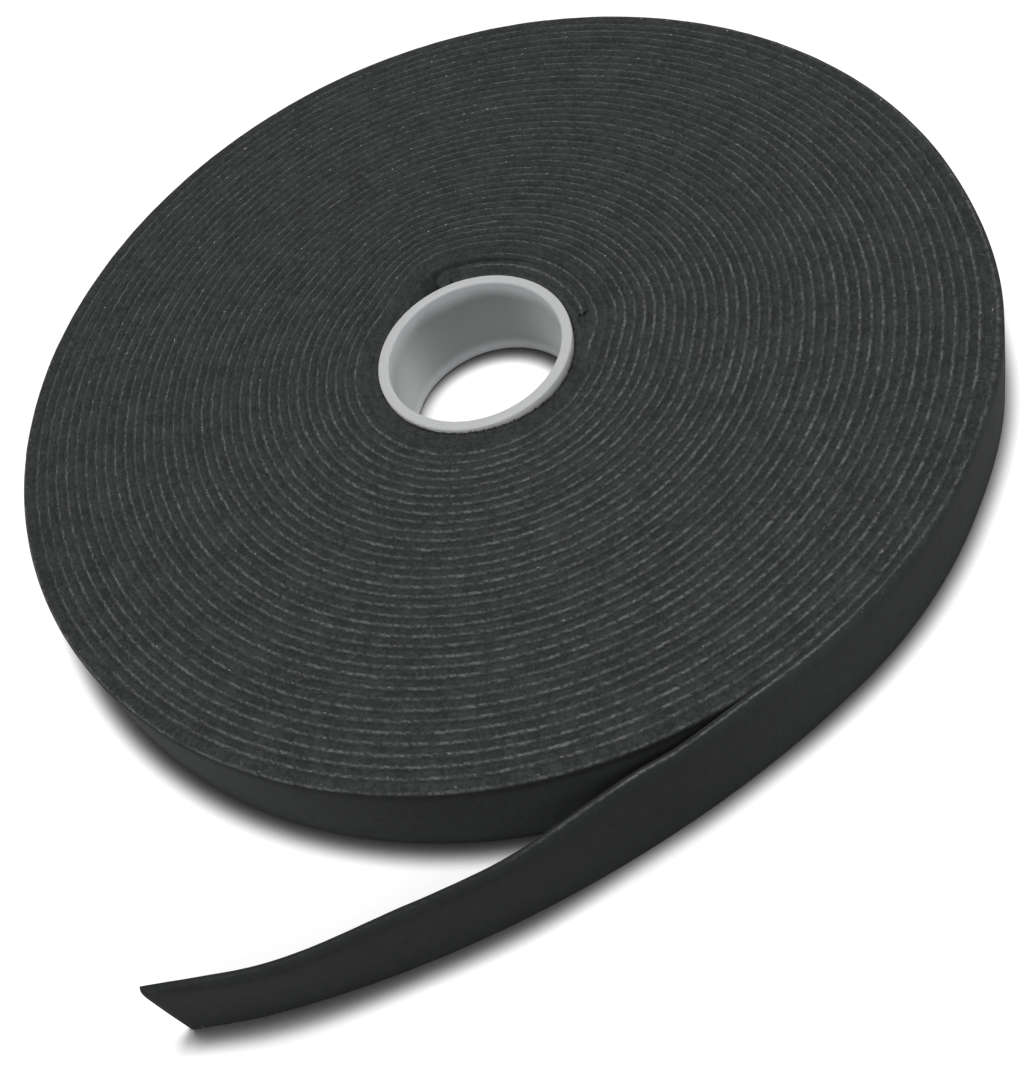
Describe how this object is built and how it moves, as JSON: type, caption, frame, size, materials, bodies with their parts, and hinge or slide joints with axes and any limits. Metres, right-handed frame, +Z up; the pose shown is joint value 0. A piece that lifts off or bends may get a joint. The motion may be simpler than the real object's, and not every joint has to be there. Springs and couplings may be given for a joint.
{
  "type": "hook and loop tape roll",
  "caption": "Flat roll of black back-to-back hook and loop tape, wound on edge on a short plastic core, with its free end peeled loose from the rim.",
  "frame": {"origin": "middle of the footprint of the roll and its free end, on the surface that the roll lies on", "axes": "+Z up, along the core's axis; -Y is the side where the free end leaves the roll, and it runs towards -X"},
  "size_m": [0.19, 0.1998, 0.0202],
  "materials": {
    "core_plastic": "satin, slightly translucent",
    "tape_fabric": "matt, brushed loop pile"
  },
  "bodies": {
    "roll": {"core": "core_plastic", "tape_inner_turns": "tape_fabric", "tape_outer_turns": "tape_fabric"},
    "tail": {"tape_tail": "tape_fabric"}
  },
  "joints": [
    {"name": "tail_peel", "type": "hinge", "parent": "roll", "child": "tail", "pos_m": [0.03356, -0.08528, 0.0095], "axis": [0, 0, 1], "range_deg": [0, 90]}
  ]
}
